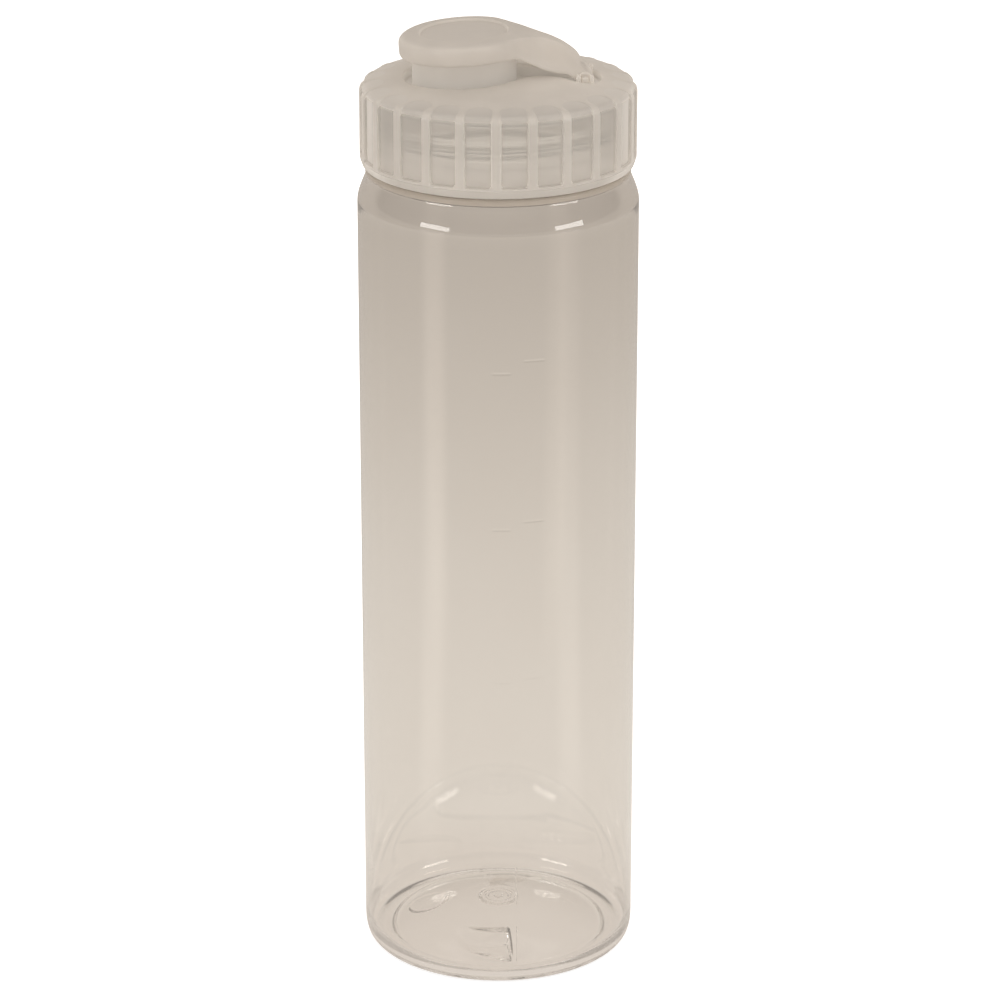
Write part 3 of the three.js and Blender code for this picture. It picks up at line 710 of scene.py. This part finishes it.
bottle = make_bottle()
capb, bottom_ring, inner_low = make_cap()
capb.region(bottom_ring, [inner_low], lambda x, y: np.full(len(x), CAP_Z0), 0.8, 0.3)
cap = capb.make("cap_shell", 42)
cheeks = [rounded_block("hinge_cheek_front", cheek_outline(), -6.75, -4.55), rounded_block("hinge_cheek_back", cheek_outline(), 4.55, 6.75)]
lid = make_lid()
knuckle = make_axle()
seal = make_seal()

# ------------------------------------------------------------------ materials
def node(nt, kind, **kw):
    n = nt.nodes.new(kind)
    for k, v in kw.items():
        setattr(n, k, v)
    return n


def ramp(nt, src, stops):
    n = node(nt, "ShaderNodeValToRGB")
    el = n.color_ramp.elements
    while len(el) < len(stops):
        el.new(0.5)
    for e, (p, c) in zip(el, stops):
        e.position = p
        e.color = (*c, 1) if len(c) == 3 else c
    nt.links.new(src, n.inputs[0])
    return n.outputs[0]


def painted_wall_glow(nt, p, amount):
    """Painted glow: from the sixth ray bounce on, rising to full at the tenth, the wall emits a soft beige, standing in
    for light caught in a thin wall, which would otherwise end as black.
    """
    lp = node(nt, "ShaderNodeLightPath")
    deep = node(nt, "ShaderNodeMapRange")
    deep.inputs["From Min"].default_value = 6.0
    deep.inputs["From Max"].default_value = 10.0
    deep.inputs["To Max"].default_value = amount
    nt.links.new(lp.outputs["Ray Depth"], deep.inputs["Value"])
    p.inputs["Emission Color"].default_value = (1.0, 0.90, 0.81, 1)
    nt.links.new(deep.outputs[0], p.inputs["Emission Strength"])


def clear_material():
    """Blown polyester: clear, faintly warm, very slightly uneven wall."""
    m = bpy.data.materials.new("clear_polyester")
    m.use_nodes = True
    nt = m.node_tree
    nt.nodes.clear()
    out = node(nt, "ShaderNodeOutputMaterial")
    p = node(nt, "ShaderNodeBsdfPrincipled")
    p.inputs["Roughness"].default_value = 0.03
    p.inputs["IOR"].default_value = 1.57
    co = node(nt, "ShaderNodeTexCoord")
    big = node(nt, "ShaderNodeTexNoise")
    big.inputs["Scale"].default_value = 18.0
    big.inputs["Detail"].default_value = 2.0
    nt.links.new(co.outputs["Object"], big.inputs["Vector"])
    tint = ramp(nt, big.outputs["Fac"], [(0.3, (0.955, 0.94, 0.92)), (0.7, (0.97, 0.96, 0.945))])
    th = node(nt, "ShaderNodeAttribute", attribute_name="thick")
    tm = node(nt, "ShaderNodeMix", data_type="RGBA")
    tm.inputs["B"].default_value = (0.95, 0.935, 0.92, 1)
    nt.links.new(th.outputs["Fac"], tm.inputs["Factor"])
    nt.links.new(tint, tm.inputs["A"])
    # the bead (thick above 1.05) is tinted darker and warmer, towards (0.86, 0.79, 0.71): partly its real cloudiness,
    # partly painted shade of the gap under the cap
    wm = node(nt, "ShaderNodeMix", data_type="RGBA")
    wm.inputs["B"].default_value = (0.86, 0.79, 0.71, 1)
    wf = node(nt, "ShaderNodeMapRange")
    wf.inputs["From Min"].default_value = 1.05
    wf.inputs["From Max"].default_value = 2.0
    nt.links.new(th.outputs["Fac"], wf.inputs["Value"])
    nt.links.new(wf.outputs[0], wm.inputs["Factor"])
    nt.links.new(tm.outputs["Result"], wm.inputs["A"])
    nt.links.new(wm.outputs["Result"], p.inputs["Base Color"])
    rg = node(nt, "ShaderNodeMapRange")
    rg.inputs["To Min"].default_value = 0.015
    rg.inputs["To Max"].default_value = 0.045
    nt.links.new(big.outputs["Fac"], rg.inputs["Value"])
    bd = node(nt, "ShaderNodeMapRange")
    bd.inputs["From Min"].default_value = 1.05
    bd.inputs["From Max"].default_value = 2.0
    bd.inputs["To Max"].default_value = 0.22
    nt.links.new(th.outputs["Fac"], bd.inputs["Value"])
    # the cooled bead under the cap is a little cloudy
    cl = node(nt, "ShaderNodeMapRange")
    cl.inputs["From Min"].default_value = 1.05
    cl.inputs["From Max"].default_value = 2.0
    cl.inputs["To Min"].default_value = 1.0
    cl.inputs["To Max"].default_value = 0.45
    nt.links.new(th.outputs["Fac"], cl.inputs["Value"])
    nt.links.new(cl.outputs[0], p.inputs["Transmission Weight"])
    ra = node(nt, "ShaderNodeMath", operation="ADD")
    nt.links.new(rg.outputs[0], ra.inputs[0])
    nt.links.new(bd.outputs[0], ra.inputs[1])
    nt.links.new(ra.outputs[0], p.inputs["Roughness"])
    # long soft waves of the blown wall, stretched along the height
    mp = node(nt, "ShaderNodeMapping")
    mp.inputs["Scale"].default_value = (1.0, 1.0, 0.35)
    nt.links.new(co.outputs["Object"], mp.inputs["Vector"])
    wav = node(nt, "ShaderNodeTexNoise")
    wav.inputs["Scale"].default_value = 55.0
    wav.inputs["Detail"].default_value = 1.5
    nt.links.new(mp.outputs[0], wav.inputs["Vector"])
    bp = node(nt, "ShaderNodeBump")
    bp.inputs["Strength"].default_value = 0.12
    bp.inputs["Distance"].default_value = 0.00015
    nt.links.new(wav.outputs["Fac"], bp.inputs["Height"])
    nt.links.new(bp.outputs[0], p.inputs["Normal"])
    # painted glow in the clear wall on deep bounces
    painted_wall_glow(nt, p, 0.012)
    # painted glow, stronger on the short neck under the cap: its strength rises from 1 to 3.2 times between heights 216
    # and 218.5 mm
    oz = node(nt, "ShaderNodeSeparateXYZ")
    nt.links.new(co.outputs["Object"], oz.inputs[0])
    neck_glow_gain = node(nt, "ShaderNodeMapRange")
    neck_glow_gain.inputs["From Min"].default_value = 0.2160
    neck_glow_gain.inputs["From Max"].default_value = 0.2185
    neck_glow_gain.inputs["To Min"].default_value = 1.0
    neck_glow_gain.inputs["To Max"].default_value = 3.2
    nt.links.new(oz.outputs["Z"], neck_glow_gain.inputs["Value"])
    es = node(nt, "ShaderNodeMath", operation="MULTIPLY")
    nt.links.new(p.inputs["Emission Strength"].links[0].from_socket, es.inputs[0])
    nt.links.new(neck_glow_gain.outputs[0], es.inputs[1])
    nt.links.new(es.outputs[0], p.inputs["Emission Strength"])
    lp = node(nt, "ShaderNodeLightPath")
    tr = node(nt, "ShaderNodeBsdfTransparent")
    tr.inputs["Color"].default_value = (0.95, 0.94, 0.93, 1)
    mx = node(nt, "ShaderNodeMixShader")
    nt.links.new(lp.outputs["Is Shadow Ray"], mx.inputs[0])
    nt.links.new(p.outputs[0], mx.inputs[1])
    nt.links.new(tr.outputs[0], mx.inputs[2])
    nt.links.new(mx.outputs[0], out.inputs["Surface"])
    return m


def milky_material(name, base, clear_trans, milky_trans, clear_rough, milky_rough, sss):
    """Natural polypropylene: milky where it is thick or grained, clearer on the pocket floors."""
    m = bpy.data.materials.new(name)
    m.use_nodes = True
    nt = m.node_tree
    nt.nodes.clear()
    out = node(nt, "ShaderNodeOutputMaterial")
    p = node(nt, "ShaderNodeBsdfPrincipled")
    p.inputs["IOR"].default_value = 1.49
    co = node(nt, "ShaderNodeTexCoord")
    at = node(nt, "ShaderNodeAttribute", attribute_name="clear")
    big = node(nt, "ShaderNodeTexNoise")
    big.inputs["Scale"].default_value = 70.0
    big.inputs["Detail"].default_value = 3.0
    nt.links.new(co.outputs["Object"], big.inputs["Vector"])
    lo = tuple(c * 0.965 for c in base)
    hi = tuple(min(1.0, c * 1.03) for c in base)
    col = ramp(nt, big.outputs["Fac"], [(0.35, lo), (0.65, hi)])
    # pocket floors (clear mark) get a whiter base colour: partly the clearer plastic's own tone, partly painted light
    # lifting the shade in the recessed pockets
    clear_tint_and_lift = node(nt, "ShaderNodeMix", data_type="RGBA")
    clear_tint_and_lift.inputs["B"].default_value = (0.96, 0.945, 0.92, 1)
    nt.links.new(at.outputs["Fac"], clear_tint_and_lift.inputs["Factor"])
    nt.links.new(col, clear_tint_and_lift.inputs["A"])
    # painted light in the recess: where the clear mark is below zero the base colour goes towards a whiter (0.955,
    # 0.94, 0.915), standing in for light passing through the thin walls
    recess_light = node(nt, "ShaderNodeMapRange")
    recess_light.inputs["From Min"].default_value = 0.0
    recess_light.inputs["From Max"].default_value = -1.0
    nt.links.new(at.outputs["Fac"], recess_light.inputs["Value"])
    recess_lightened = node(nt, "ShaderNodeMix", data_type="RGBA")
    recess_lightened.inputs["B"].default_value = (0.955, 0.94, 0.915, 1)
    nt.links.new(recess_light.outputs[0], recess_lightened.inputs["Factor"])
    nt.links.new(clear_tint_and_lift.outputs["Result"], recess_lightened.inputs["A"])
    # painted highlight and shade by curvature: the base colour is raised up to 1.10 on outer edges and lowered to 0.90
    # in grooves
    ed = node(nt, "ShaderNodeAttribute", attribute_name="edge")
    rim = ramp(nt, ed.outputs["Fac"], [(0.0, (0.90, 0.89, 0.875)), (0.38, (0.98, 0.98, 0.98)), (0.5, (1.0, 1.0, 1.0)), (0.64, (1.015, 1.015, 1.015)), (1.0, (1.10, 1.10, 1.09))])
    em = node(nt, "ShaderNodeMix", data_type="RGBA", blend_type="MULTIPLY", clamp_result=True)
    em.inputs["Factor"].default_value = 1.0
    nt.links.new(recess_lightened.outputs["Result"], em.inputs["A"])
    nt.links.new(rim, em.inputs["B"])
    # painted shade on the tops: faces turned up (normal Z from 0.6 to 0.98) get a darker base colour, down to 0.88 of
    # it, except where the recess is painted lighter
    gn = node(nt, "ShaderNodeSeparateXYZ")
    nt.links.new(co.outputs["Normal"], gn.inputs[0])
    top_shade = node(nt, "ShaderNodeMapRange", interpolation_type="SMOOTHSTEP")
    top_shade.inputs["From Min"].default_value = 0.6
    top_shade.inputs["From Max"].default_value = 0.98
    top_shade.inputs["To Min"].default_value = 1.0
    top_shade.inputs["To Max"].default_value = 0.88
    nt.links.new(gn.outputs["Z"], top_shade.inputs["Value"])
    dm = node(nt, "ShaderNodeVectorMath", operation="SCALE")
    nt.links.new(em.outputs["Result"], dm.inputs[0])
    dx = node(nt, "ShaderNodeMath", operation="MAXIMUM")
    nt.links.new(top_shade.outputs[0], dx.inputs[0])
    nt.links.new(recess_light.outputs[0], dx.inputs[1])
    nt.links.new(dx.outputs[0], dm.inputs["Scale"])
    nt.links.new(dm.outputs[0], p.inputs["Base Color"])
    p.inputs["Subsurface Scale"].default_value = 0.0045
    p.inputs["Subsurface Radius"].default_value = (1.0, 1.0, 1.0)
    def by_clear(a, b):
        r = node(nt, "ShaderNodeMapRange")
        r.inputs["To Min"].default_value = a
        r.inputs["To Max"].default_value = b
        nt.links.new(at.outputs["Fac"], r.inputs["Value"])
        return r.outputs[0]
    lw = node(nt, "ShaderNodeLayerWeight")
    lw.inputs["Blend"].default_value = 0.5
    gz = node(nt, "ShaderNodeMapRange", interpolation_type="SMOOTHSTEP")
    gz.inputs["From Min"].default_value = 0.45
    gz.inputs["From Max"].default_value = 0.72
    gz.inputs["To Min"].default_value = 1.0
    gz.inputs["To Max"].default_value = 0.12
    nt.links.new(lw.outputs["Facing"], gz.inputs["Value"])
    tw = node(nt, "ShaderNodeMath", operation="MULTIPLY")
    nt.links.new(by_clear(milky_trans, clear_trans), tw.inputs[0])
    nt.links.new(gz.outputs[0], tw.inputs[1])
    nt.links.new(tw.outputs[0], p.inputs["Transmission Weight"])
    nt.links.new(by_clear(milky_rough, clear_rough), p.inputs["Roughness"])
    nt.links.new(by_clear(sss, 0.0), p.inputs["Subsurface Weight"])
    fine = node(nt, "ShaderNodeTexNoise")
    fine.inputs["Scale"].default_value = 1400.0
    fine.inputs["Detail"].default_value = 4.0
    nt.links.new(co.outputs["Object"], fine.inputs["Vector"])
    bp = node(nt, "ShaderNodeBump")
    bp.inputs["Distance"].default_value = 0.00004
    nt.links.new(by_clear(0.35, 0.03), bp.inputs["Strength"])
    nt.links.new(fine.outputs["Fac"], bp.inputs["Height"])
    nt.links.new(bp.outputs[0], p.inputs["Normal"])
    # painted glow in the milky wall on deep bounces
    painted_wall_glow(nt, p, 0.030)
    lp = node(nt, "ShaderNodeLightPath")
    tr = node(nt, "ShaderNodeBsdfTransparent")
    tr.inputs["Color"].default_value = (0.92, 0.905, 0.885, 1)
    mx = node(nt, "ShaderNodeMixShader")
    nt.links.new(lp.outputs["Is Shadow Ray"], mx.inputs[0])
    nt.links.new(p.outputs[0], mx.inputs[1])
    nt.links.new(tr.outputs[0], mx.inputs[2])
    nt.links.new(mx.outputs[0], out.inputs["Surface"])
    return m


def seal_material():
    m = bpy.data.materials.new("seal_foam")
    m.use_nodes = True
    nt = m.node_tree
    p = nt.nodes["Principled BSDF"]
    p.inputs["Roughness"].default_value = 0.6
    co = node(nt, "ShaderNodeTexCoord")
    v = node(nt, "ShaderNodeTexVoronoi")
    v.inputs["Scale"].default_value = 900.0
    nt.links.new(co.outputs["Object"], v.inputs["Vector"])
    nt.links.new(ramp(nt, v.outputs["Distance"], [(0.0, (0.72, 0.69, 0.655)), (0.6, (0.82, 0.79, 0.75))]), p.inputs["Base Color"])
    bp = node(nt, "ShaderNodeBump")
    bp.inputs["Strength"].default_value = 0.3
    bp.inputs["Distance"].default_value = 0.0001
    nt.links.new(v.outputs["Distance"], bp.inputs["Height"])
    nt.links.new(bp.outputs[0], p.inputs["Normal"])
    return m


PP = (0.90, 0.865, 0.82)
mat_clear = clear_material()
mat_cap = milky_material("milky_polypropylene", PP, 0.62, 0.24, 0.06, 0.40, 0.5)
# the lid is the same plastic with a darker base colour, about 0.9 of the cap's: painted shade that keeps the
# brighter-lit lid at the cap's tone
mat_lid = milky_material("milky_polypropylene_lid", (0.81, 0.776, 0.735), 0.68, 0.10, 0.06, 0.40, 0.25)
mat_seal = seal_material()
for o in [bottle]:
    o.data.materials.append(mat_clear)
for o in [cap, *cheeks]:
    o.data.materials.append(mat_cap)
for o in [lid, knuckle]:
    o.data.materials.append(mat_lid)
seal.data.materials.append(mat_seal)

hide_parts("bottle")
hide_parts("cap")
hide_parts("lid")
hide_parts("seal_ring")
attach(bottle, "bottle_body")
for o in [cap, *cheeks]:
    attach(o, "cap_body")
for o in [lid, knuckle]:
    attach(o, "lid_body")
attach(seal, "seal_body")
# the CAD nodes stay in the scene, hidden; give them the same finishes
for n, mt in (("bottle", mat_clear), ("cap", mat_cap), ("lid", mat_lid), ("seal_ring", mat_seal)):
    o = bpy.data.objects.get(n)
    if o and o.type == "MESH":
        for s in o.material_slots:
            s.material = mt

# ------------------------------------------------------------------ stage, light, camera
sc = bpy.context.scene
sc.view_settings.view_transform = "Standard"
sc.cycles.max_bounces = 24
sc.cycles.transmission_bounces = 24
sc.cycles.glossy_bounces = 24
sc.cycles.transparent_max_bounces = 24
sc.cycles.caustics_reflective = False
sc.cycles.caustics_refractive = False

# tones of the floor's glow, seen by all rays but camera rays: UNDER is a painted shadow right under the bottle, NEAR a
# painted pool of light round it, fading to the darker FAR tone
FAR_TONE = (0.509, 0.458, 0.407)
NEAR_TONE = (0.764, 0.711, 0.647)
UNDER_SHADOW_TONE = (0.715, 0.647, 0.585)


def floor_material():
    m = bpy.data.materials.new("pale_floor")
    m.use_nodes = True
    nt = m.node_tree
    nt.nodes.clear()
    out = node(nt, "ShaderNodeOutputMaterial")
    df = node(nt, "ShaderNodeBsdfDiffuse")
    df.inputs["Color"].default_value = (0.93, 0.93, 0.93, 1)
    co = node(nt, "ShaderNodeTexCoord")
    ln = node(nt, "ShaderNodeVectorMath", operation="LENGTH")
    nt.links.new(co.outputs["Object"], ln.inputs[0])
    mr = node(nt, "ShaderNodeMapRange", interpolation_type="SMOOTHSTEP")
    mr.inputs["From Min"].default_value = 0.0
    mr.inputs["From Max"].default_value = 0.75
    nt.links.new(ln.outputs["Value"], mr.inputs["Value"])
    # painted shadow under the bottle, then a painted pool of light fading with distance
    col = ramp(nt, mr.outputs[0], [(0.0, UNDER_SHADOW_TONE), (0.03, NEAR_TONE), (1.0, FAR_TONE)])
    # two painted pools of light on the table, front left and front right, where the soft boxes light it; only rays
    # other than camera rays see them
    sp = node(nt, "ShaderNodeSeparateXYZ")
    nt.links.new(co.outputs["Object"], sp.inputs[0])
    ng = node(nt, "ShaderNodeMath", operation="MULTIPLY")
    ng.inputs[1].default_value = -1.0
    nt.links.new(sp.outputs["Y"], ng.inputs[0])
    az = node(nt, "ShaderNodeMath", operation="ARCTAN2")
    nt.links.new(sp.outputs["X"], az.inputs[0])
    nt.links.new(ng.outputs[0], az.inputs[1])
    light_pools = []
    for deg, peak in ((-53.5, 1.60), (58.0, 1.55)):
        a0 = node(nt, "ShaderNodeMath", operation="SUBTRACT")
        a0.inputs[1].default_value = math.radians(deg)
        nt.links.new(az.outputs[0], a0.inputs[0])
        a1 = node(nt, "ShaderNodeMath", operation="ABSOLUTE")
        nt.links.new(a0.outputs[0], a1.inputs[0])
        gl = node(nt, "ShaderNodeMapRange", interpolation_type="SMOOTHSTEP")
        gl.inputs["From Min"].default_value = math.radians(3)
        gl.inputs["From Max"].default_value = math.radians(15)
        gl.inputs["To Min"].default_value = peak
        gl.inputs["To Max"].default_value = 1.0
        nt.links.new(a1.outputs[0], gl.inputs["Value"])
        light_pools.append(gl.outputs[0])
    gm = node(nt, "ShaderNodeMath", operation="MULTIPLY_ADD")
    nt.links.new(light_pools[0], gm.inputs[0])
    nt.links.new(light_pools[1], gm.inputs[1])
    gm.inputs[2].default_value = -1.0
    far = node(nt, "ShaderNodeMapRange", interpolation_type="SMOOTHSTEP")
    far.inputs["From Min"].default_value = 0.08
    far.inputs["From Max"].default_value = 0.22
    nt.links.new(ln.outputs["Value"], far.inputs["Value"])
    ga = node(nt, "ShaderNodeMath", operation="MULTIPLY_ADD")
    nt.links.new(gm.outputs[0], ga.inputs[0])
    nt.links.new(far.outputs[0], ga.inputs[1])
    ga.inputs[2].default_value = 1.0
    em = node(nt, "ShaderNodeEmission")
    nt.links.new(col, em.inputs["Color"])
    nt.links.new(ga.outputs[0], em.inputs["Strength"])
    ce = node(nt, "ShaderNodeEmission")
    ce.inputs["Color"].default_value = (1, 1, 1, 1)
    ce.inputs["Strength"].default_value = 0.82
    ad = node(nt, "ShaderNodeAddShader")
    nt.links.new(df.outputs[0], ad.inputs[0])
    nt.links.new(ce.outputs[0], ad.inputs[1])
    # camera rays see a plain white floor; all other rays see the painted glow
    lp = node(nt, "ShaderNodeLightPath")
    mx = node(nt, "ShaderNodeMixShader")
    nt.links.new(lp.outputs["Is Camera Ray"], mx.inputs[0])
    nt.links.new(em.outputs[0], mx.inputs[1])
    nt.links.new(ad.outputs[0], mx.inputs[2])
    nt.links.new(mx.outputs[0], out.inputs["Surface"])
    return m


bm = bmesh.new()
bmesh.ops.create_grid(bm, x_segments=8, y_segments=8, size=6.0)
me = bpy.data.meshes.new("floor")
bm.to_mesh(me)
bm.free()
floor = bpy.data.objects.new("floor", me)
floor.location.z = -0.0004
sc.collection.objects.link(floor)
floor.data.materials.append(floor_material())
floor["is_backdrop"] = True

world = bpy.data.worlds.new("studio")
sc.world = world
world.use_nodes = True
wn = world.node_tree
bg = wn.nodes["Background"]
wc = node(wn, "ShaderNodeTexCoord")
sx = node(wn, "ShaderNodeSeparateXYZ")
wn.links.new(wc.outputs["Generated"], sx.inputs[0])


def wmath(op, a, b=None, c=None):
    n = node(wn, "ShaderNodeMath", operation=op)
    for i, v in enumerate((a, b, c)):
        if v is None:
            continue
        if isinstance(v, (int, float)):
            n.inputs[i].default_value = v
        else:
            wn.links.new(v, n.inputs[i])
    return n.outputs[0]


def wstep(a, b, v, lo=0.0, hi=1.0):
    n = node(wn, "ShaderNodeMapRange", interpolation_type="SMOOTHSTEP")
    n.inputs["From Min"].default_value, n.inputs["From Max"].default_value = a, b
    n.inputs["To Min"].default_value, n.inputs["To Max"].default_value = lo, hi
    wn.links.new(v, n.inputs["Value"])
    return n.outputs[0]


soft = ramp(wn, sx.outputs["Z"], [(0.0, (0.53, 0.475, 0.42)), (0.45, (0.54, 0.485, 0.43)), (1.0, (0.66, 0.605, 0.545))])
# mirror-like reflections see the dark room in front and to the sides, above the table
flatlen = wmath("SQRT", wmath("SUBTRACT", 1.0, wmath("MULTIPLY", sx.outputs["Z"], sx.outputs["Z"])))
backness = wmath("DIVIDE", sx.outputs["Y"], wmath("MAXIMUM", flatlen, 0.001))
front = wstep(0.42, 0.66, backness, 1.0, 0.0)
band = wmath("MULTIPLY", wstep(0.05, 0.12, sx.outputs["Z"]), wstep(0.36, 0.60, sx.outputs["Z"], 1.0, 0.0))
wlp = node(wn, "ShaderNodeLightPath")
room = wmath("MULTIPLY", wmath("MULTIPLY", front, band), wlp.outputs["Is Glossy Ray"])
wmx = node(wn, "ShaderNodeMix", data_type="RGBA")
wmx.inputs["B"].default_value = (0.05, 0.045, 0.04, 1)
wn.links.new(room, wmx.inputs["Factor"])
wn.links.new(soft, wmx.inputs["A"])
wn.links.new(wmx.outputs["Result"], bg.inputs["Color"])
bg.inputs["Strength"].default_value = 1.0


def softbox(name, loc, target, size_x, size_y, power, color):
    ld = bpy.data.lights.new(name, "AREA")
    ld.shape = "RECTANGLE"
    ld.size, ld.size_y = size_x, size_y
    ld.energy = power
    ld.color = color
    ob = bpy.data.objects.new(name, ld)
    ob.location = loc
    ob.rotation_euler = (Vector(target) - Vector(loc)).to_track_quat("-Z", "Y").to_euler()
    sc.collection.objects.link(ob)
    return ob


EL, DIST = math.radians(10), 1.34
for side, AZ, nm in ((-1, math.radians(52), "softbox_left"), (1, math.radians(59), "softbox_right")):
    softbox(nm, (side * DIST * math.cos(EL) * math.sin(AZ), -DIST * math.cos(EL) * math.cos(AZ), 0.212 + DIST * math.sin(EL)), (0, 0, 0.212), 0.60, 0.22, 2.9, (1.0, 0.98, 0.95))
softbox("overhead", (0.0, 0.2, 1.7), (0, 0, 0.1), 1.8, 1.4, 2.5, (1.0, 0.98, 0.96))

cam_data = bpy.data.cameras.new("camera")
cam = bpy.data.objects.new("camera", cam_data)
cam_data.sensor_width = 36.0
cam_data.lens = 151.1158
cam_data.clip_start = 0.01
PITCH_DOWN = math.radians(20.6289)
cam.location = (0.00046, -1.0453, 0.51873)
cam.rotation_euler = (math.pi / 2 - PITCH_DOWN, 0.0, 0.0)
sc.collection.objects.link(cam)
sc.camera = cam

VIS_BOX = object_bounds()
flat = lambda b: [[float(c) for c in p] for p in b]
{"cad": flat(CAD_BOX), "visual": flat(VIS_BOX)}
